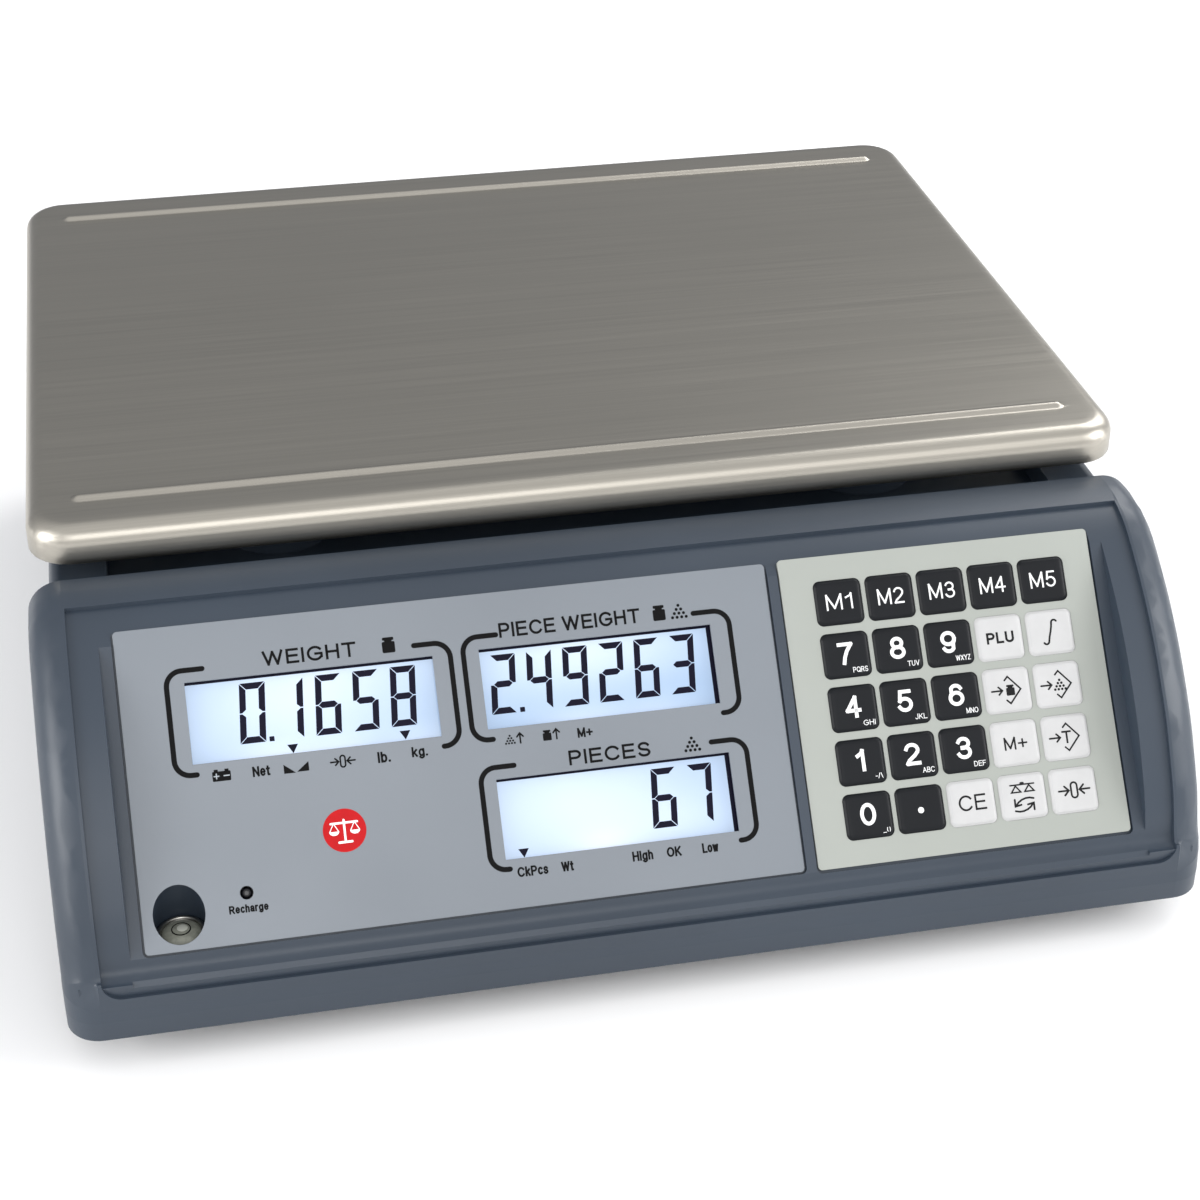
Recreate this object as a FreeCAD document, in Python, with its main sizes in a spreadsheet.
import FreeCAD, Part
import os
import math
import Sketcher
from FreeCAD import Vector, Placement, Rotation

# Electronic counting scale: moulded housing, sloping operator panel, sheet
# metal pan on a cast carrier and a single-point load cell.
# Frame: +X to the operator's right, +Y to the back, +Z up; Z = 0 is the
# bench, X = Y = 0 is the middle of the footprint.  Millimetres.

doc = FreeCAD.newDocument("counting_scale")
sheet = doc.addObject("Spreadsheet::Sheet", "Params")
DIMS = {}
_row = [0]


def dim(alias, value):
    _row[0] += 1
    cell = "B%d" % _row[0]
    sheet.set("A%d" % _row[0], alias)
    sheet.set(cell, repr(float(value)))
    sheet.setAlias(cell, alias)
    DIMS[alias] = float(value)
    return float(value)


# ---- driving dimensions ------------------------------------------------
# housing
console_half = dim("console_half_width", 148.3)
rear_half = dim("rear_half_width", 143.0)
front_y = dim("front_face_depth", 151.0)
rear_y = dim("rear_face_depth", 151.0)
bottom_z = dim("housing_bottom_height", 10.5)
console_back = dim("console_back_depth", 72.0)
console_top = dim("console_top_height", 95.0)
rear_top = dim("rear_rim_height", 90.5)
deck_half = dim("deck_half_width", 128.0)
deck_z = dim("deck_height", 84.0)
wall = dim("shell_wall", 2.6)
side_wall = dim("console_side_wall", 4.2)
edge_round = dim("console_edge_round", 9.0)
ledge_half = dim("ledge_half_width", 138.5)
ledge_depth = dim("ledge_depth", 1.1)
# operator panel
panel_tilt = dim("panel_tilt_deg", 50.0)
panel_y = dim("panel_top_depth", 93.7)
panel_z = dim("panel_top_height", 91.8)
panel_half = dim("panel_half_width", 131.0)
film_thick = dim("film_thickness", 0.9)
film_recess = dim("film_recess_depth", 1.2)
disp_left = dim("display_left_edge", -127.4)
disp_right = dim("display_right_edge", 39.0)
disp_len = dim("display_slope_length", 80.0)
keyp_left = dim("keypad_left_edge", 42.6)
keyp_right = dim("keypad_right_edge", 127.3)
keyp_len = dim("keypad_slope_length", 80.6)
film_corner = dim("film_corner_round", 1.1)
key_pitch = dim("key_pitch", 13.93)
key_wide = dim("key_width", 12.1)
key_tall = dim("key_slope_length", 11.2)
key_first_x = dim("key_first_left", 51.5)
key_first_s = dim("key_first_slope", 6.5)
key_thick = dim("key_thickness", 2.9)
key_corner = dim("key_corner_round", 1.4)
key_crown = dim("key_crown_round", 0.55)
key_gap = dim("key_side_gap", 0.35)
# pan
pan_wide = dim("pan_width", 294.0)
pan_deep = dim("pan_depth", 216.0)
pan_tall = dim("pan_skirt_height", 10.0)
pan_sheet = dim("pan_sheet_thickness", 1.2)
pan_corner = dim("pan_corner_round", 12.0)
pan_edge = dim("pan_edge_round", 5.0)
pan_y = dim("pan_centre_depth", 39.5)
pan_z = dim("pan_top_height", 107.0)
rib_long = dim("pan_rib_length", 270.0)
rib_wide = dim("pan_rib_width", 3.9)
rib_high = dim("pan_rib_height", 1.0)
rib_off = dim("pan_rib_offset", 91.5)
# load path
post_x = dim("post_half_spacing_across", 82.0)
post_y = dim("post_half_spacing_deep", 75.5)
post_r = dim("post_radius", 7.0)
collar_in = dim("collar_bore_radius", 12.0)
collar_out = dim("collar_outer_radius", 15.5)
collar_top = dim("collar_top_height", 88.5)
cell_long = dim("cell_length", 130.0)
cell_wide = dim("cell_width", 30.0)
cell_tall = dim("cell_height", 22.0)
cell_z = dim("cell_bottom_height", 40.0)
carrier_z = dim("carrier_bottom_height", 66.0)
carrier_thick = dim("carrier_thickness", 9.0)
post_top = dim("post_top_height", 103.0)
# base and feet
tray_thick = dim("tray_floor_thickness", 3.0)
foot_x = dim("foot_half_spacing_across", 120.0)
foot_y = dim("foot_half_spacing_deep", 125.0)
foot_pad_r = dim("foot_pad_radius", 13.0)
foot_screw_r = dim("foot_screw_radius", 4.0)

doc.recompute()
P = "Params."

# ---- helpers -----------------------------------------------------------
NODES = {}      # node name -> document object whose Shape is exported


def axis_plane(body, role):
    for f in body.Origin.OriginFeatures:
        if f.Role == role:
            return f
    raise RuntimeError(role)


def new_body(name):
    b = doc.addObject("PartDesign::Body", name)
    b.Label = name
    NODES[name] = b
    return b


def new_sketch(body, name, role="XY_Plane", offset=(0, 0, 0)):
    s = body.newObject("Sketcher::SketchObject", name)
    s.AttachmentSupport = [(axis_plane(body, role), "")]
    s.MapMode = "FlatFace"
    s.AttachmentOffset = Placement(Vector(*offset), Rotation())
    return s


def sketch_rect(s, w, h, wx=None, hx=None, at=(0.0, 0.0)):
    """Centred rectangle; wx and hx are expressions for its two sizes."""
    cx, cy = at
    x0, x1, y0, y1 = cx - w / 2, cx + w / 2, cy - h / 2, cy + h / 2
    pts = [Vector(x0, y0, 0), Vector(x1, y0, 0), Vector(x1, y1, 0), Vector(x0, y1, 0)]
    g = [s.addGeometry(Part.LineSegment(pts[i], pts[(i + 1) % 4]), False) for i in range(4)]
    C = Sketcher.Constraint
    for i in range(4):
        s.addConstraint(C("Coincident", g[i], 2, g[(i + 1) % 4], 1))
    s.addConstraint(C("Horizontal", g[0]))
    s.addConstraint(C("Horizontal", g[2]))
    s.addConstraint(C("Vertical", g[1]))
    s.addConstraint(C("Vertical", g[3]))
    kw = s.addConstraint(C("DistanceX", g[0], 1, g[0], 2, w))
    kh = s.addConstraint(C("DistanceY", g[1], 1, g[1], 2, h))
    if at == (0.0, 0.0):
        s.addConstraint(C("Symmetric", g[0], 1, g[1], 2, -1, 1))
    else:
        s.addConstraint(C("DistanceX", -1, 1, g[0], 1, x0))
        s.addConstraint(C("DistanceY", -1, 1, g[0], 1, y0))
    if wx:
        s.setExpression("Constraints[%d]" % kw, wx)
    if hx:
        s.setExpression("Constraints[%d]" % kh, hx)


def sketch_circle(s, r, rx=None, at=(0.0, 0.0)):
    g = s.addGeometry(Part.Circle(Vector(at[0], at[1], 0), Vector(0, 0, 1), r), False)
    C = Sketcher.Constraint
    if at == (0.0, 0.0):
        s.addConstraint(C("Coincident", g, 3, -1, 1))
    else:
        s.addConstraint(C("DistanceX", -1, 1, g, 3, at[0]))
        s.addConstraint(C("DistanceY", -1, 1, g, 3, at[1]))
    k = s.addConstraint(C("Radius", g, r))
    if rx:
        s.setExpression("Constraints[%d]" % k, rx)


def sketch_poly(s, pts):
    """Closed polygon fixed by the coordinates of its corners."""
    n = len(pts)
    g = [s.addGeometry(Part.LineSegment(Vector(*pts[i], 0), Vector(*pts[(i + 1) % n], 0)), False)
         for i in range(n)]
    C = Sketcher.Constraint
    for i in range(n):
        s.addConstraint(C("Coincident", g[i], 2, g[(i + 1) % n], 1))
    for i in range(n):
        s.addConstraint(C("DistanceX", -1, 1, g[i], 1, pts[i][0]))
        s.addConstraint(C("DistanceY", -1, 1, g[i], 1, pts[i][1]))


def pad(body, sk, length, expr=None, reverse=False, name=None):
    f = body.newObject("PartDesign::Pad", name or sk.Name + "_pad")
    f.Profile = sk
    f.Length = length
    f.Reversed = reverse
    if expr:
        f.setExpression("Length", expr)
    sk.Visibility = False
    return f


def pocket(body, sk, length, expr=None, reverse=False, through=False):
    f = body.newObject("PartDesign::Pocket", sk.Name + "_pocket")
    f.Profile = sk
    if through:
        f.Type = 1
    else:
        f.Length = length
        if expr:
            f.setExpression("Length", expr)
    f.Reversed = reverse
    f.Midplane = False
    return f


def edges_of(feature, test):
    out = []
    for i, e in enumerate(feature.Shape.Edges):
        if test(e):
            out.append("Edge%d" % (i + 1))
    return out


def upright(e):
    vs = e.Vertexes
    return (len(vs) == 2 and abs(vs[0].X - vs[1].X) < 1e-6 and abs(vs[0].Y - vs[1].Y) < 1e-6
            and abs(vs[0].Z - vs[1].Z) > 1e-6)


def at_height(z, tol=1e-4):
    def test(e):
        bb = e.BoundBox
        return abs(bb.ZMin - z) < tol and abs(bb.ZMax - z) < tol
    return test


def fillet(body, base, edges, r, expr=None, name="Round"):
    f = body.newObject("PartDesign::Fillet", body.Name + "_" + name)
    f.Base = (base, edges)
    f.Radius = r
    if expr:
        f.setExpression("Radius", expr)
    return f


def chamfer(body, base, edges, r, name="Bevel"):
    f = body.newObject("PartDesign::Chamfer", body.Name + "_" + name)
    f.Base = (base, edges)
    f.Size = r
    return f


def place(obj, base, rot=None):
    obj.Placement = Placement(Vector(*base), rot or Rotation())


def prim_box(name, size, at, ex=None):
    b = doc.addObject("Part::Box", name)
    b.Length, b.Width, b.Height = size
    b.Placement = Placement(Vector(*at), Rotation())
    for prop, expr in (ex or {}).items():
        b.setExpression(prop, expr)
    return b


def prim_cyl(name, r, height, at, rot=None, ex=None):
    c = doc.addObject("Part::Cylinder", name)
    c.Radius, c.Height = r, height
    c.Placement = Placement(Vector(*at), rot or Rotation())
    for prop, expr in (ex or {}).items():
        c.setExpression(prop, expr)
    return c


def multi(kind, name, shapes):
    f = doc.addObject(kind, name)
    f.Shapes = shapes
    return f


def cut(name, base, tool):
    f = doc.addObject("Part::Cut", name)
    f.Base = base
    f.Tool = tool
    return f


def node(obj, label):
    obj.Label = label
    NODES[label] = obj
    return obj


def shape_node(label, shape):
    f = doc.addObject("Part::Feature", label)
    f.Label = label
    f.Shape = shape
    NODES[label] = f
    return f


def bx(x0, x1, y0, y1, z0, z1):
    return Part.makeBox(x1 - x0, y1 - y0, z1 - z0, Vector(x0, y0, z0))


def cyl(r, x, y, z0, z1):
    return Part.makeCylinder(r, z1 - z0, Vector(x, y, z0))


# ---- operator panel frame ----------------------------------------------
# local x = X, local y = up the slope, local z = outward normal; the local
# origin is the middle of the two films' upper edge, on the panel floor.
TILT = Rotation(Vector(1, 0, 0), panel_tilt)
PANEL = Placement(Vector(0, -panel_y, panel_z), TILT)


def on_panel(x, s, n):
    return PANEL.multVec(Vector(x, -s, n))


def panel_place(x, s, n):
    return Placement(on_panel(x, s, n), TILT)


def pbox(x0, x1, s0, s1, n0, n1):
    b = Part.makeBox(x1 - x0, s1 - s0, n1 - n0, Vector(x0, -s1, n0))
    b.Placement = PANEL
    return b


def pbox_round(x0, x1, s0, s1, n0, n1, r):
    b = Part.makeBox(x1 - x0, s1 - s0, n1 - n0, Vector(x0, -s1, n0))
    b = b.makeFillet(r, [e for e in b.Edges if upright(e)])
    b.Placement = PANEL
    return b


# ---- housing side profile ----------------------------------------------
# (y, z) points of the console's outer surface, from its top rear edge over
# the brow and down to the front face.
OUTER = [(-72.0, 95.0), (-79.0, 95.35), (-85.0, 94.6), (-91.0, 92.9), (-100.5, 87.4), (-110.5, 80.0),
         (-120.5, 70.8), (-128.5, 61.8), (-134.5, 54.0), (-139.5, 46.0), (-144.5, 36.6), (-148.6, 27.0),
         (-150.6, 19.0)]


def curve_through(pts):
    c = Part.BSplineCurve()
    c.interpolate([Vector(0, y, z) for y, z in pts],
                  InitialTangent=Vector(0, -1.0, 0.09), FinalTangent=Vector(0, -0.02, -1.0))
    return c


def inset_points(curve, d, n=15):
    out = []
    a, b = curve.FirstParameter, curve.LastParameter
    for i in range(n):
        t = a + (b - a) * i / (n - 1)
        p = curve.value(t)
        g = curve.tangent(t)
        g = g[0] if isinstance(g, (list, tuple)) else g
        nrm = Vector(0, g.z, -g.y)          # points out of the housing
        if nrm.z < 0 and nrm.y > 0:
            nrm = nrm * -1
        out.append((p.y - nrm.y * d, p.z - nrm.z * d))
    return out


outer_curve = curve_through(OUTER)
inner_pts = inset_points(outer_curve, wall)
ledge_pts = inset_points(outer_curve, ledge_depth, 25)
inner_curve = curve_through(inner_pts)
ledge_curve = curve_through(ledge_pts)


def profile_solid(curve, y_back, z_low, y_front, half):
    """Solid under the curve, between the back plane and the front face."""
    p0 = curve.value(curve.FirstParameter)
    p1 = curve.value(curve.LastParameter)
    a = Vector(0, y_back, p0.z)
    b = Vector(0, y_back, z_low)
    c = Vector(0, y_front, z_low)
    d = Vector(0, y_front, p1.z - 3.0)
    edges = [curve.toShape()]
    if (p0 - a).Length > 1e-6:
        edges.append(Part.makeLine(a, p0))
    edges += [Part.makeLine(a, b), Part.makeLine(b, c), Part.makeLine(c, d), Part.makeLine(d, p1)]
    w = Part.Wire(Part.__sortEdges__(edges))
    f = Part.Face(w)
    f.translate(Vector(-half, 0, 0))
    return f.extrude(Vector(2 * half, 0, 0))


def side_curve_edges(shape, half):
    """Edges of the curved front along both side faces."""
    out = []
    for e in shape.Edges:
        bb = e.BoundBox
        if abs(bb.XMin - bb.XMax) < 1e-4 and abs(abs(bb.XMin) - half) < 1e-4:
            if bb.ZMin > bottom_z + 0.5 and bb.YMax < -console_back + 0.5 and bb.YMin < -console_back - 1:
                out.append(e)
            elif abs(bb.YMin + front_y) < 0.7 and abs(bb.YMax + front_y) < 0.7:
                out.append(e)
    return out


console = profile_solid(outer_curve, -console_back, bottom_z, -front_y, console_half)
console = console.makeFillet(edge_round, side_curve_edges(console, console_half))
rear = bx(-rear_half, rear_half, -console_back - 4, rear_y, bottom_z, rear_top)
rear = rear.makeFillet(9.0, [e for e in rear.Edges if upright(e) and e.BoundBox.YMin > 0])
rear = rear.makeFillet(3.5, [e for e in rear.Edges if abs(e.BoundBox.ZMin - rear_top) < 1e-4
                             and abs(e.BoundBox.ZMax - rear_top) < 1e-4 and e.BoundBox.YMax > 0])

solid_in = profile_solid(inner_curve, -console_back - wall, bottom_z - 5, -front_y + wall, console_half - side_wall)
rear_in = bx(-rear_half + wall, rear_half - wall, -console_back - 20, rear_y - wall, bottom_z - 5, rear_top - wall)
rear_in = rear_in.makeFillet(9.0 - wall, [e for e in rear_in.Edges if upright(e) and e.BoundBox.YMin > 0])

# the deck under the pan lies lower than the side rims
recess = bx(-deck_half, deck_half, -console_back, rear_y - 12.0, deck_z, rear_top + 10)
recess = recess.makeFillet(4.0, [e for e in recess.Edges if upright(e) and e.BoundBox.YMin > 0])
recess_in = bx(-deck_half - wall, deck_half + wall, -console_back - wall, rear_y - 12.0 + wall, deck_z - wall, rear_top + 10)

# the socket panel slides into a notch in the rear wall; its bay holds the
# mains inlet and the switch
BAY = (30.0, 124.0, rear_y - 10.0, rear_y + 5.0, 20.0, 58.0)
NOTCH = (26.4, 127.6, 61.6)

outer = console.fuse(rear)
outer = outer.cut(recess)

# shallow inner band of the console front, bordered by the ledge
strip = bx(-ledge_half, ledge_half, -front_y - 10, -85.0, 22.5, 110)
big = profile_solid(curve_through(inset_points(outer_curve, -6.0, 25)), -84.99, 10.0, -front_y - 6, ledge_half + 5)
band_tool = big.common(strip)
band_tool = band_tool.makeFillet(5.0, [e for e in band_tool.Edges
                                       if abs(abs(e.BoundBox.XMin) - ledge_half) < 1e-3
                                       and abs(abs(e.BoundBox.XMax) - ledge_half) < 1e-3
                                       and abs(e.BoundBox.ZMax - 22.5) < 1e-3
                                       and abs(e.BoundBox.ZMin - 22.5) < 1e-3])
under = profile_solid(ledge_curve, -60.0, 0.0, -front_y + 1.1, ledge_half + 5)
band_tool = band_tool.cut(under)
outer = outer.cut(band_tool)

# flat panel pocket
outer = outer.cut(pbox(-panel_half, panel_half, -14.0, 100.0, 0.0, 45.0))

inner = solid_in.fuse(rear_in)
inner = inner.cut(recess_in)
inner = inner.cut(pbox(-panel_half - wall, panel_half + wall, -20.0, 110.0, -3.2, 60.0))
cover = outer.cut(inner)

# film recesses
r = film_corner + 0.4
cover = cover.cut(pbox_round(disp_left - 0.5, disp_right + 0.5, -0.5, disp_len + 0.5, -film_recess, 2.0, r))
cover = cover.cut(pbox_round(keyp_left - 0.5, keyp_right + 0.5, -0.9, keyp_len + 0.4, -film_recess, 2.0, r))
# display openings, keypad opening, lamp hole
LCD = {"lcd_weight": (-111.2, -49.2, 14.5, 34.9),
       "lcd_piece_weight": (-37.4, 22.9, 14.2, 34.6),
       "lcd_pieces": (-36.9, 23.4, 47.4, 67.6)}
LCD_RIM = 2.2
for k, (x0, x1, s0, s1) in LCD.items():
    m = LCD_RIM + 0.4
    cover = cover.cut(pbox(x0 - m, x1 + m, s0 - m, s1 + m, -6.0, 0.0))
cover = cover.cut(pbox(45.6, 124.3, 3.0, 77.0, -6.0, 0.0))
LAMP = (-101.5, 67.7)
lamp_hole = Part.makeCylinder(1.9, 8.0, Vector(LAMP[0], -LAMP[1], -6.0))
lamp_hole.Placement = PANEL
cover = cover.cut(lamp_hole)


def oval(x, s, a, b, n0, n1):
    e = Part.Ellipse(Vector(x, -s, n0), b, a)
    e.MajorRadius, e.MinorRadius = b, a
    ed = e.toShape()
    ed.rotate(Vector(x, -s, n0), Vector(0, 0, 1), 90)
    f = Part.Face(Part.Wire([ed]))
    sh = f.extrude(Vector(0, 0, n1 - n0))
    sh.Placement = PANEL
    return sh


# level well: an upright tube below the oval hole in the panel
WELL = (-118.3, -136.8)
well_out = cyl(7.8, WELL[0], WELL[1], 22.0, 56.0)
well_out = well_out.common(pbox(-140, -90, 40, 110, -60, -0.8 - 1.0)).common(
    profile_solid(inner_curve, -console_back - wall, 0, -front_y + wall - 0.01, console_half - side_wall))
cover = cover.fuse(well_out)
cover = cover.cut(cyl(6.6, WELL[0], WELL[1], 24.0, 60.0).common(pbox(-140, -90, 40, 110, -60, 6)))
cover = cover.cut(oval(WELL[0], 71.0, 6.35, 7.3, -3.4, 2.0))

# collars round the four carrier posts
posts = [(sx * post_x, pan_y + sy * post_y) for sx in (-1, 1) for sy in (-1, 1)]
for (x, y) in posts:
    c = cyl(collar_out, x, y, deck_z - wall, collar_top)
    c = c.makeFillet(1.2, [e for e in c.Edges if abs(e.BoundBox.ZMin - collar_top) < 1e-4 and abs(e.BoundBox.ZMax - collar_top) < 1e-4])
    cover = cover.fuse(c)
for (x, y) in posts:
    cover = cover.cut(cyl(collar_in, x, y, deck_z - wall - 5, collar_top + 5))

# screw bosses on the inside of both side walls
BOSS = [(sx * 137.0, y) for sx in (-1, 1) for y in (-60.0, 38.0, 100.0)]
for (x, y) in BOSS:
    zt = deck_z - wall + 1.0
    sgn = 1 if x > 0 else -1
    b = cyl(4.5, x, y, bottom_z + tray_thick, zt)
    web = bx(min(x, sgn * (rear_half - 1)), max(x, sgn * (rear_half - 1)), y - 1.5, y + 1.5, bottom_z + tray_thick, zt)
    cover = cover.fuse(b).fuse(web)
for (x, y) in BOSS:
    cover = cover.cut(cyl(1.7, x, y, bottom_z - 1, bottom_z + 24.0))

# ribs under the deck
for x in (-24.0, 24.0):
    cover = cover.fuse(bx(x - 1.2, x + 1.2, -console_back - wall + 0.2, rear_y - 12.0, deck_z - 6.5, deck_z - 1.0))

# notch for the socket panel
INLET = (100.0, 39.0)
SWITCH = (54.0, 39.0)
cover = cover.cut(bx(NOTCH[0], NOTCH[1], rear_y - 13.0, rear_y + 5.0, bottom_z - 2.0, NOTCH[2]))
cover = cover.removeSplitter()
if cover.ShapeType != "Solid" and len(cover.Solids) == 1:
    cover = cover.Solids[0]
shape_node("top_cover", cover)

# ---- socket panel ---------------------------------------------------------
plate = bx(NOTCH[0] + 0.2, NOTCH[1] - 0.2, rear_y - wall, rear_y, bottom_z, NOTCH[2] - 0.2)
tub = bx(BAY[0] - wall, BAY[1] + wall, BAY[2] - wall, rear_y - 1.0, BAY[4] - wall, BAY[5] + wall)
bay = bx(*BAY)
bay = bay.makeFillet(3.0, [e for e in bay.Edges if abs(e.BoundBox.XMin - e.BoundBox.XMax) < 1e-4
                           and abs(e.BoundBox.ZMin - e.BoundBox.ZMax) < 1e-4])
socket_panel = plate.fuse(tub).cut(bay)
socket_panel = socket_panel.cut(bx(INLET[0] - 13.9, INLET[0] + 13.9, 130, rear_y - 9, INLET[1] - 10.1, INLET[1] + 10.1))
socket_panel = socket_panel.cut(bx(SWITCH[0] - 9.8, SWITCH[0] + 9.8, 130, rear_y - 9, SWITCH[1] - 6.8, SWITCH[1] + 6.8))
socket_panel = socket_panel.removeSplitter()
shape_node("rear_socket_panel", socket_panel)

# ---- base tray ----------------------------------------------------------
tb = new_body("base_tray")
s = new_sketch(tb, "tray_outline", offset=(0, 0, bottom_z))
TX, TY0, TY1 = rear_half - wall - 0.5, -(front_y - wall - 1.0), rear_y - wall - 0.5
sketch_rect(s, 2 * TX, TY1 - TY0, at=(0.0, (TY0 + TY1) / 2))
f = pad(tb, s, tray_thick, P + "tray_floor_thickness")
doc.recompute()
f = fillet(tb, f, edges_of(f, upright), 7.0, name="corner")
s = new_sketch(tb, "tray_front_ears", offset=(0, 0, bottom_z))
sketch_rect(s, 2 * (console_half - side_wall - 0.6), 70.0, at=(0.0, TY0 + 0.5 + 35.0))
f = pad(tb, s, tray_thick, P + "tray_floor_thickness")
s = new_sketch(tb, "tray_rim_outer", offset=(0, 0, bottom_z))
sketch_rect(s, 2 * 128.5, 276.0, at=(0.0, 0.0))
sketch_rect(s, 2 * 126.3, 271.6, at=(0.0, 0.0))
f = pad(tb, s, 11.0)
s = new_sketch(tb, "tray_ribs", offset=(0, 0, bottom_z))
sketch_rect(s, 2.0, 271.9, at=(-13.0, 0.0))
sketch_rect(s, 2.0, 100.0, at=(72.0, 50.0))
f = pad(tb, s, 8.0)
# foot bosses, board standoffs and transformer pads
s = new_sketch(tb, "foot_bosses", offset=(0, 0, bottom_z))
for sx in (-1, 1):
    for sy in (-1, 1):
        sketch_circle(s, 8.5, at=(sx * (foot_x - 5.0), sy * foot_y))
f = pad(tb, s, 11.0)
STAND = [(10.0, -127.0), (98.0, -127.0), (10.0, -67.0), (98.0, -67.0)]
s = new_sketch(tb, "board_posts", offset=(0, 0, bottom_z))
for (x, y) in STAND:
    sketch_circle(s, 3.2, at=(x, y))
f = pad(tb, s, 9.5)
s = new_sketch(tb, "foot_holes", offset=(0, 0, bottom_z))
for sx in (-1, 1):
    for sy in (-1, 1):
        sketch_circle(s, 4.35, at=(sx * (foot_x - 5.0), sy * foot_y))
f = pocket(tb, s, 40.0, reverse=True)
s = new_sketch(tb, "screw_holes", offset=(0, 0, bottom_z))
for (x, y) in BOSS:
    sketch_circle(s, 1.9, at=(x, y))
for x in (-57.0, -39.0):
    sketch_circle(s, 3.2, at=(x, pan_y))
f = pocket(tb, s, 40.0, reverse=True)
FOOT = [(sx * (foot_x - 5.0), sy * foot_y) for sy in (-1, 1) for sx in (-1, 1)]

# ---- pan ----------------------------------------------------------------
pb = new_body("weighing_pan")
s = new_sketch(pb, "pan_outline")
sketch_rect(s, pan_wide, pan_deep, P + "pan_width", P + "pan_depth")
f = pad(pb, s, pan_tall, P + "pan_skirt_height", reverse=True)
doc.recompute()
f = fillet(pb, f, edges_of(f, upright), pan_corner, P + "pan_corner_round", "corner")
doc.recompute()
f = fillet(pb, f, edges_of(f, at_height(0.0)), pan_edge, P + "pan_edge_round", "edge")
doc.recompute()
low = [("Face%d" % (i + 1)) for i, fc in enumerate(f.Shape.Faces)
       if abs(fc.BoundBox.ZMin + pan_tall) < 1e-4 and abs(fc.BoundBox.ZMax + pan_tall) < 1e-4]
t = pb.newObject("PartDesign::Thickness", "pan_sheet")
t.Base = (f, low)
t.Value = pan_sheet
t.setExpression("Value", P + "pan_sheet_thickness")
t.Reversed = True
t.Mode = 0
t.Join = 0
doc.recompute()
s = new_sketch(pb, "pan_ribs", offset=(0, 0, -0.3))
C = Sketcher.Constraint
for sy in (-1, 1):
    yy = sy * rib_off
    hw, rr = rib_long / 2 - rib_wide / 2, rib_wide / 2
    a = s.addGeometry(Part.LineSegment(Vector(-hw, yy + rr, 0), Vector(hw, yy + rr, 0)), False)
    b = s.addGeometry(Part.ArcOfCircle(Part.Circle(Vector(hw, yy, 0), Vector(0, 0, 1), rr), -math.pi / 2, math.pi / 2), False)
    c = s.addGeometry(Part.LineSegment(Vector(hw, yy - rr, 0), Vector(-hw, yy - rr, 0)), False)
    d = s.addGeometry(Part.ArcOfCircle(Part.Circle(Vector(-hw, yy, 0), Vector(0, 0, 1), rr), math.pi / 2, 3 * math.pi / 2), False)
    s.addConstraint(C("Coincident", a, 2, b, 2))
    s.addConstraint(C("Coincident", b, 1, c, 1))
    s.addConstraint(C("Coincident", c, 2, d, 2))
    s.addConstraint(C("Coincident", d, 1, a, 1))
f = pad(pb, s, rib_high + 0.3, P + "pan_rib_height + 0.3")
doc.recompute()
f = fillet(pb, f, edges_of(f, at_height(rib_high)), 0.7, name="rib_edge")
place(pb, (0, pan_y, pan_z))

# ---- carrier -------------------------------------------------------------
cb = new_body("pan_carrier")
s = new_sketch(cb, "carrier_rails")
for sx in (-1, 1):
    sketch_rect(s, 20.0, 2 * post_y + 20.0, at=(sx * post_x, 0.0))
f = pad(cb, s, carrier_thick, P + "carrier_thickness")
s = new_sketch(cb, "carrier_bridge")
sketch_rect(s, 2 * post_x, 40.0, at=(0.0, 0.0))
f = pad(cb, s, carrier_thick, P + "carrier_thickness")
s = new_sketch(cb, "carrier_boss", offset=(0, 0, 0.5))
sketch_rect(s, 30.0, cell_wide, at=(50.0, 0.0))
f = pad(cb, s, 4.5, reverse=True)
doc.recompute()
f = fillet(cb, f, edges_of(f, lambda e: upright(e) and abs(abs(e.Vertexes[0].Y) - post_y - 10) < 1e-3), 9.0, name="ends")
s = new_sketch(cb, "carrier_posts")
for sx in (-1, 1):
    for sy in (-1, 1):
        sketch_circle(s, post_r, P + "post_radius", at=(sx * post_x, sy * post_y))
f = pad(cb, s, post_top - carrier_z, P + "post_top_height - " + P + "carrier_bottom_height")
s = new_sketch(cb, "carrier_side_ribs", offset=(0, 0, carrier_thick - 0.5))
for sx in (-1, 1):
    sketch_rect(s, 4.0, 2 * post_y - 10.0, at=(sx * post_x, 0.0))
f = pad(cb, s, 4.0)
s = new_sketch(cb, "carrier_bolt_holes", offset=(0, 0, carrier_thick + 6))
for x in (42.0, 57.0):
    sketch_circle(s, 3.2, at=(x, 0.0))
f = pocket(cb, s, 40.0)
place(cb, (0, pan_y, carrier_z))

pads = []
for i, (x, y) in enumerate(posts):
    stem = prim_cyl("pad_disc_%d" % i, 8.0, pan_z - pan_sheet - post_top, (x, y, post_top),
                    ex={"Height": P + "pan_top_height - " + P + "pan_sheet_thickness - " + P + "post_top_height"})
    pads.append(stem)
node(doc.addObject("Part::Compound", "PadGroup"), "pan_support_pads")
NODES["pan_support_pads"].Links = pads

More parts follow.
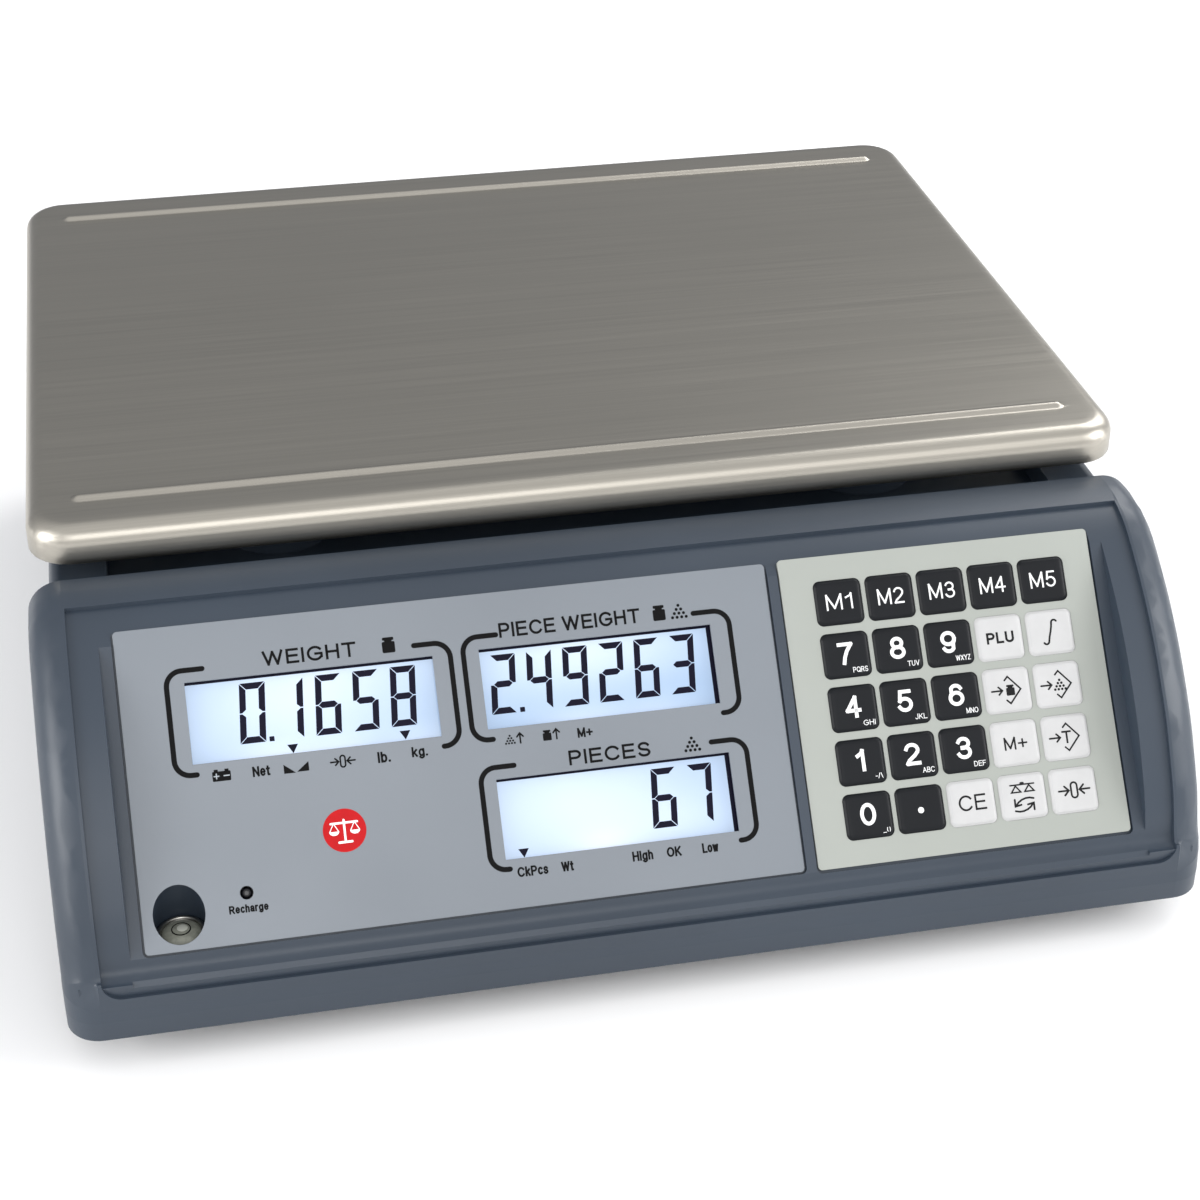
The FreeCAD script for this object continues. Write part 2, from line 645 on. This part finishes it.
# ---- load cell -----------------------------------------------------------
lb = new_body("load_cell")
s = new_sketch(lb, "cell_block")
sketch_rect(s, cell_long, cell_wide, P + "cell_length", P + "cell_width")
f = pad(lb, s, cell_tall, P + "cell_height")
doc.recompute()
f = chamfer(lb, f, edges_of(f, upright), 0.8)
s = new_sketch(lb, "cell_eyes", role="XZ_Plane", offset=(0, 0, -cell_wide / 2 - 1))
for x in (-14.0, 14.0):
    sketch_circle(s, 7.6, at=(x, cell_tall / 2))
f = pocket(lb, s, cell_wide + 2, reverse=True)
s = new_sketch(lb, "cell_slot", role="XZ_Plane", offset=(0, 0, -cell_wide / 2 - 1))
sketch_rect(s, 20.0, 3.0, at=(0.0, cell_tall / 2))
f = pocket(lb, s, cell_wide + 2, reverse=True)
s = new_sketch(lb, "cell_low_holes", offset=(0, 0, -1))
for x in (-57.0, -39.0):
    sketch_circle(s, 3.1, at=(x, 0.0))
f = pocket(lb, s, 14.0, reverse=True)
s = new_sketch(lb, "cell_top_holes", offset=(0, 0, cell_tall + 1))
for x in (42.0, 57.0):
    sketch_circle(s, 3.1, at=(x, 0.0))
f = pocket(lb, s, 14.0)
place(lb, (0, pan_y, cell_z))

mb = new_body("load_cell_mount")
s = new_sketch(mb, "mount_block")
sketch_rect(s, 36.0, 38.0)
f = pad(mb, s, cell_z - bottom_z - tray_thick, P + "cell_bottom_height - " + P + "housing_bottom_height - " + P + "tray_floor_thickness")
doc.recompute()
f = fillet(mb, f, edges_of(f, upright), 2.5, name="corner")
s = new_sketch(mb, "mount_holes", offset=(0, 0, -1))
for x in (-9.0, 9.0):
    sketch_circle(s, 3.2, at=(x, 0.0))
f = pocket(mb, s, 60.0, reverse=True)
place(mb, (-48.0, pan_y, bottom_z + tray_thick))


def bolt_shape(x, y, z_head, head_r, head_h, shank_r, length, up=True):
    """Socket-head bolt; up: head below, shank upwards."""
    if up:
        h = cyl(head_r, x, y, z_head, z_head + head_h)
        hexa = Part.makePolygon([Vector(x + 2.6 * math.cos(math.pi / 3 * k), y + 2.6 * math.sin(math.pi / 3 * k), z_head - 0.1)
                                 for k in range(7)])
        sock = Part.Face(Part.Wire(hexa)).extrude(Vector(0, 0, head_h * 0.6))
        return h.fuse(cyl(shank_r, x, y, z_head + head_h - 0.1, z_head + head_h + length)).cut(sock).removeSplitter()
    h = cyl(head_r, x, y, z_head - head_h, z_head)
    hexa = Part.makePolygon([Vector(x + 2.6 * math.cos(math.pi / 3 * k), y + 2.6 * math.sin(math.pi / 3 * k), z_head + 0.1)
                             for k in range(7)])
    sock = Part.Face(Part.Wire(hexa)).extrude(Vector(0, 0, -head_h * 0.6))
    return h.fuse(cyl(shank_r, x, y, z_head - head_h - length, z_head - head_h + 0.1)).cut(sock).removeSplitter()


cell_bolts = [bolt_shape(x, pan_y, bottom_z - 4.0, 5.0, 4.0, 3.0, cell_z - bottom_z + 11.0) for x in (-57.0, -39.0)]
shape_node("carrier_bolts", Part.makeCompound(
    [bolt_shape(x, pan_y, carrier_z + carrier_thick + 5.0, 5.0, 5.0, 3.0, carrier_thick + 4.0 + 10.0, up=False) for x in (42.0, 57.0)]))

STOPS = [(sx * post_x, pan_y + sy * 46.0) for sx in (-1, 1) for sy in (-1, 1)]
stops = []
for (x, y) in STOPS:
    z0 = bottom_z + tray_thick
    st = cyl(4.0, x, y, z0, carrier_z - 0.9)
    nut = Part.Face(Part.makePolygon([Vector(x + 7.5 * math.cos(math.pi / 3 * k), y + 7.5 * math.sin(math.pi / 3 * k), z0)
                                      for k in range(7)])).extrude(Vector(0, 0, 6.0))
    tip = cyl(5.0, x, y, carrier_z - 4.0, carrier_z - 0.9)
    stops.append(st.fuse(nut).fuse(tip).removeSplitter())
# two clamping bolts and four adjustable stop screws, all seated in the tray
shape_node("load_cell_hardware", Part.makeCompound(cell_bolts + stops))

# ---- films, displays, keys ------------------------------------------------
FILM_Z = -film_recess
db = new_body("display_overlay")
s = new_sketch(db, "display_film")
sketch_rect(s, disp_right - disp_left, disp_len, P + "display_right_edge - " + P + "display_left_edge",
            P + "display_slope_length")
f = pad(db, s, film_thick, P + "film_thickness")
doc.recompute()
f = fillet(db, f, edges_of(f, upright), film_corner, P + "film_corner_round", "corner")
cx, cs = (disp_left + disp_right) / 2, disp_len / 2
s = new_sketch(db, "display_windows", offset=(0, 0, -1))
for k, (x0, x1, s0, s1) in LCD.items():
    sketch_rect(s, x1 - x0, s1 - s0, at=((x0 + x1) / 2 - cx, cs - (s0 + s1) / 2))
f = pocket(db, s, 5.0, reverse=True)
s = new_sketch(db, "display_lamp_hole", offset=(0, 0, -1))
sketch_circle(s, 1.65, at=(LAMP[0] - cx, cs - LAMP[1]))
f = pocket(db, s, 5.0, reverse=True)
s = new_sketch(db, "display_level_hole", offset=(0, 0, -1))
g = s.addGeometry(Part.Ellipse(Vector(WELL[0] - cx, cs - 71.0 + 7.3, 0), Vector(WELL[0] - cx + 6.35, cs - 71.0, 0),
                               Vector(WELL[0] - cx, cs - 71.0, 0)), False)
f = pocket(db, s, 5.0, reverse=True)
db.Placement = panel_place(cx, cs, FILM_Z)

kb = new_body("keypad_overlay")
s = new_sketch(kb, "keypad_film")
sketch_rect(s, keyp_right - keyp_left, keyp_len, P + "keypad_right_edge - " + P + "keypad_left_edge",
            P + "keypad_slope_length")
f = pad(kb, s, film_thick, P + "film_thickness")
doc.recompute()
f = fillet(kb, f, edges_of(f, upright), film_corner, P + "film_corner_round", "corner")
kcx, kcs = (keyp_left + keyp_right) / 2, -0.4 + keyp_len / 2
KEYS = {}
NAMES = [["m1", "m2", "m3", "m4", "m5"],
         ["7", "8", "9", "plu", "function"],
         ["4", "5", "6", "unit_weight", "sample"],
         ["1", "2", "3", "m_plus", "preset_tare"],
         ["0", "point", "ce", "check_convert", "zero"]]
for rr_ in range(5):
    for cc_ in range(5):
        KEYS["key_" + NAMES[rr_][cc_]] = (key_first_x + key_wide / 2 + cc_ * key_pitch,
                                         key_first_s + key_tall / 2 + rr_ * key_pitch)
s = new_sketch(kb, "key_window", offset=(0, 0, -1))
kx, ks = KEYS["key_m1"]
sketch_rect(s, key_wide + 2 * key_gap, key_tall + 2 * key_gap, P + "key_width + 2 * " + P + "key_side_gap",
            P + "key_slope_length + 2 * " + P + "key_side_gap", at=(kx - kcx, kcs - ks))
f = pocket(kb, s, 5.0, reverse=True)
doc.recompute()
f = fillet(kb, f, edges_of(f, lambda e: upright(e) and abs(e.Vertexes[0].X - (kx - kcx)) < key_wide and
                           abs(e.Vertexes[0].Y - (kcs - ks)) < key_tall), key_corner + key_gap, name="key_corner")
doc.recompute()
pk = [o for o in kb.Group if o.Name == "key_window_pocket"][0]
mt = kb.newObject("PartDesign::MultiTransform", "key_grid")
lp1 = kb.newObject("PartDesign::LinearPattern", "key_columns")
lp2 = kb.newObject("PartDesign::LinearPattern", "key_rows")
for lp, ax in ((lp1, "X_Axis"), (lp2, "Y_Axis")):
    lp.Direction = (axis_plane(kb, ax), [""])
    lp.Length = 4 * key_pitch
    lp.setExpression("Length", "4 * " + P + "key_pitch")
    lp.Occurrences = 5
lp2.Reversed = True
mt.Originals = [pk, f]
mt.Transformations = [lp1, lp2]
kb.Tip = mt
kb.Placement = panel_place(kcx, kcs, FILM_Z)

for name, (x, ss) in KEYS.items():
    b = new_body(name)
    s = new_sketch(b, name + "_face")
    sketch_rect(s, key_wide, key_tall, P + "key_width", P + "key_slope_length")
    f = pad(b, s, key_thick, P + "key_thickness")
    doc.recompute()
    f = fillet(b, f, edges_of(f, upright), key_corner, P + "key_corner_round", "corner")
    doc.recompute()
    f = fillet(b, f, edges_of(f, at_height(key_thick)), key_crown, P + "key_crown_round", "crown")
    b.Placement = panel_place(x, ss, 0.3 - key_thick)

mem = new_body("keypad_membrane")
s = new_sketch(mem, "membrane_sheet")
sketch_rect(s, 83.0, 78.0)
f = pad(mem, s, 1.5)
mem.Placement = panel_place((keyp_left + keyp_right) / 2, 40.0, -4.7)

for k, (x0, x1, s0, s1) in LCD.items():
    b = new_body(k)
    s = new_sketch(b, k + "_frame")
    w, hgt = x1 - x0 + 2 * LCD_RIM, s1 - s0 + 2 * LCD_RIM
    sketch_rect(s, w, hgt)
    f = pad(b, s, 5.6)
    doc.recompute()
    f = fillet(b, f, edges_of(f, upright), 0.8, name="corner")
    b.Placement = panel_place((x0 + x1) / 2, (s0 + s1) / 2, -8.1)

bb_ = new_body("display_board")
s = new_sketch(bb_, "display_pcb")
sketch_poly(s, [(-116.5, -9.0), (-116.5, -58.0), (-106.5, -58.0), (-106.5, -76.0), (36.0, -76.0), (36.0, -9.0)])
f = pad(bb_, s, 1.6)
s = new_sketch(bb_, "display_parts", offset=(0, 0, 0.2))
sketch_rect(s, 18.0, 12.0, at=(-80.0, -62.0))
sketch_rect(s, 14.0, 10.0, at=(-10.0, -42.0))
sketch_rect(s, 24.0, 6.0, at=(8.0, -72.0))
f = pad(bb_, s, 3.0, reverse=True)
bb_.Placement = panel_place(0, 0, -9.7)

led = new_body("charge_led")
s = new_sketch(led, "led_base")
sketch_circle(s, 1.5)
f = pad(led, s, 7.2)
s = new_sketch(led, "led_flange")
sketch_circle(s, 1.9)
f = pad(led, s, 1.0)
doc.recompute()
f = fillet(led, f, edges_of(f, at_height(7.2)), 1.1, name="dome")
led.Placement = panel_place(LAMP[0], LAMP[1], -8.1)

lv = new_body("spirit_level")
s = new_sketch(lv, "level_cup")
sketch_circle(s, 6.3)
f = pad(lv, s, 6.0)
s = new_sketch(lv, "level_lens", offset=(0, 0, 5.9))
sketch_circle(s, 5.0)
f = pad(lv, s, 1.1)
doc.recompute()
f = fillet(lv, f, edges_of(f, at_height(7.0)), 0.6, name="lens_edge")
place(lv, (WELL[0], WELL[1], 24.0))

# ---- electronics and power -------------------------------------------------
mbd = new_body("main_board")
s = new_sketch(mbd, "main_pcb")
sketch_rect(s, 100.0, 70.0)
f = pad(mbd, s, 1.6)
s = new_sketch(mbd, "main_parts", offset=(0, 0, 1.4))
sketch_rect(s, 14.0, 14.0, at=(-18.0, 6.0))
sketch_rect(s, 22.0, 9.0, at=(22.0, -18.0))
sketch_rect(s, 10.0, 24.0, at=(44.0, 12.0))
sketch_rect(s, 8.0, 20.0, at=(-44.0, -4.0))
f = pad(mbd, s, 3.4)
s = new_sketch(mbd, "main_capacitors", offset=(0, 0, 1.4))
for (x, y) in ((4.0, 22.0), (18.0, 22.0)):
    sketch_circle(s, 5.0, at=(x, y))
f = pad(mbd, s, 13.0)
place(mbd, (54.0, -97.0, bottom_z + 9.5))

bt = new_body("battery")
s = new_sketch(bt, "battery_case")
sketch_rect(s, 101.0, 70.0)
f = pad(bt, s, 47.0)
doc.recompute()
f = fillet(bt, f, edges_of(f, lambda e: True), 1.5, name="case")
s = new_sketch(bt, "battery_lid_line", role="YZ_Plane", offset=(0, 0, 50.4))
sketch_rect(s, 6.3, 6.5, at=(-22.0, 36.0))
sketch_rect(s, 6.3, 6.5, at=(22.0, 36.0))
f = pad(bt, s, 6.0)
place(bt, (-72.5, -66.0, bottom_z + tray_thick))

strap = bx(-83.0, -61.0, -103.0, -29.0, 60.6, 61.8)
strap = strap.fuse(bx(-83.0, -61.0, -30.2, -29.0, bottom_z + tray_thick, 61.8)).fuse(
    bx(-83.0, -61.0, -30.2, -17.0, bottom_z + tray_thick, bottom_z + tray_thick + 1.2))
strap = strap.fuse(bx(-83.0, -61.0, -103.0, -101.8, bottom_z + tray_thick, 61.8)).fuse(
    bx(-83.0, -61.0, -115.0, -101.8, bottom_z + tray_thick, bottom_z + tray_thick + 1.2))
strap = strap.removeSplitter()
shape_node("battery_strap", strap)

tr = new_body("transformer")
s = new_sketch(tr, "core")
sketch_rect(s, 50.0, 24.0)
f = pad(tr, s, 42.0)
s = new_sketch(tr, "winding", offset=(0, 0, 7.0))
sketch_rect(s, 32.0, 40.0)
f = pad(tr, s, 28.0)
s = new_sketch(tr, "feet_flange")
sketch_rect(s, 66.0, 16.0)
f = pad(tr, s, 1.6)
place(tr, (-50.0, 112.0, bottom_z + tray_thick))

ib = new_body("power_inlet")
yi = rear_y - 10.0
s = new_sketch(ib, "inlet_flange")
sketch_rect(s, 31.0, 24.5)
f = pad(ib, s, 2.5)
s = new_sketch(ib, "inlet_housing")
sketch_rect(s, 27.2, 19.6)
f = pad(ib, s, 18.0, reverse=True)
doc.recompute()
s = new_sketch(ib, "inlet_cavity", offset=(0, 0, 2.5))
sketch_rect(s, 24.4, 16.4)
f = pocket(ib, s, 17.0)
s = new_sketch(ib, "inlet_pins", offset=(0, 0, -14.6))
sketch_rect(s, 4.0, 2.0, at=(-7.0, 2.0))
sketch_rect(s, 4.0, 2.0, at=(7.0, 2.0))
sketch_rect(s, 4.0, 2.0, at=(0.0, -2.0))
f = pad(ib, s, 12.0)
s = new_sketch(ib, "inlet_tabs", offset=(0, 0, -17.9))
sketch_rect(s, 6.3, 0.8, at=(-7.0, 3.0))
sketch_rect(s, 6.3, 0.8, at=(7.0, 3.0))
sketch_rect(s, 6.3, 0.8, at=(0.0, -4.0))
f = pad(ib, s, 8.0, reverse=True)
ib.Placement = Placement(Vector(INLET[0], yi, INLET[1]), Rotation(Vector(1, 0, 0), -90))

sb = new_body("power_switch_body")
s = new_sketch(sb, "switch_flange")
sketch_rect(s, 21.5, 15.5)
f = pad(sb, s, 1.6)
s = new_sketch(sb, "switch_housing")
sketch_rect(s, 19.0, 13.0)
f = pad(sb, s, 14.0, reverse=True)
s = new_sketch(sb, "switch_cavity", offset=(0, 0, 1.6))
sketch_rect(s, 17.4, 11.6)
f = pocket(sb, s, 8.6)
s = new_sketch(sb, "switch_pin_holes", role="YZ_Plane", offset=(0, 0, -12.0))
sketch_circle(s, 1.45, at=(0.0, -2.6))
f = pocket(sb, s, 24.0, reverse=True)
s = new_sketch(sb, "switch_tabs", offset=(0, 0, -13.9))
sketch_rect(s, 0.8, 4.8, at=(-6.0, 0.0))
sketch_rect(s, 0.8, 4.8, at=(0.0, 0.0))
sketch_rect(s, 0.8, 4.8, at=(6.0, 0.0))
f = pad(sb, s, 7.0, reverse=True)
sb.Placement = Placement(Vector(SWITCH[0], yi, SWITCH[1]), Rotation(Vector(1, 0, 0), -90))

rk = new_body("power_rocker")
s = new_sketch(rk, "rocker_profile", role="YZ_Plane", offset=(0, 0, -8.3))
sketch_poly(s, [(-2.4, -3.2), (4.3, -5.0), (5.8, 0.0), (4.3, 5.0), (-2.4, 3.2)])
f = pad(rk, s, 16.6)
s = new_sketch(rk, "rocker_pins", role="YZ_Plane", offset=(0, 0, -9.2))
sketch_circle(s, 1.3)
f = pad(rk, s, 18.4)
ROCK = (SWITCH[0], yi - 2.6, SWITCH[1])
rk.Placement = Placement(Vector(*ROCK), Rotation(Vector(1, 0, 0), -9))

# ---- feet ------------------------------------------------------------------
CORNER = ["front_left", "front_right", "rear_left", "rear_right"]
for nm, (x, y) in zip(CORNER, FOOT):
    b = new_body("foot_pad_" + nm)
    s = new_sketch(b, "fp_" + nm)
    sketch_circle(s, foot_pad_r, P + "foot_pad_radius")
    f = pad(b, s, 6.4)
    doc.recompute()
    f = fillet(b, f, edges_of(f, at_height(6.4)), 1.6, name="shoulder")
    s = new_sketch(b, "fps_" + nm, offset=(0, 0, 7.0))
    sketch_circle(s, 5.6)
    f = pocket(b, s, 4.4)
    place(b, (x, y, 0))
    b = new_body("foot_screw_" + nm)
    s = new_sketch(b, "fs_" + nm)
    sketch_circle(s, 5.2)
    f = pad(b, s, 2.6)
    s = new_sketch(b, "fss_" + nm)
    sketch_circle(s, foot_screw_r, P + "foot_screw_radius")
    f = pad(b, s, 22.0)
    s = new_sketch(b, "fsw_" + nm, offset=(0, 0, 4.0))
    sketch_circle(s, 9.0)
    f = pad(b, s, 3.0)
    doc.recompute()
    f = chamfer(b, f, edges_of(f, at_height(22.0)), 0.8)
    place(b, (x, y, 3.0))

# ---- housing screws ----------------------------------------------------------
hs = []
for (x, y) in BOSS:
    head = cyl(3.4, x, y, bottom_z - 2.2, bottom_z)
    sh = cyl(1.55, x, y, bottom_z - 0.1, bottom_z + 18.0)
    c1 = bx(x - 2.2, x + 2.2, y - 0.5, y + 0.5, bottom_z - 2.4, bottom_z - 1.0)
    c2 = bx(x - 0.5, x + 0.5, y - 2.2, y + 2.2, bottom_z - 2.4, bottom_z - 1.0)
    hs.append(head.fuse(sh).cut(c1).cut(c2).removeSplitter())
shape_node("housing_screws", Part.makeCompound(hs))

# ---- check and write ---------------------------------------------------------
doc.recompute()
bad = []
for o in doc.Objects:
    st = [str(v) for v in o.State]
    if "Invalid" in st or "Error" in st:
        bad.append((o.Name, st))
if bad:
    raise RuntimeError("failed objects: %s" % bad)
os.makedirs("parts", exist_ok=True)
for label in sorted(NODES):
    o = NODES[label]
    sh = o.Shape
    if sh.isNull() or not sh.isValid() or not sh.Solids:
        raise RuntimeError("bad shape: " + label)
    if o.Label != label:
        raise RuntimeError("label clash: " + label + " " + o.Label)
    bbx = sh.BoundBox
    print("%-26s solids %d vol %10.1f  x %.1f..%.1f y %.1f..%.1f z %.1f..%.1f" % (
        label, len(sh.Solids), sh.Volume, bbx.XMin, bbx.XMax, bbx.YMin, bbx.YMax, bbx.ZMin, bbx.ZMax))
    sh.exportStep("parts/%s.step" % label)
print(len(NODES), "nodes")
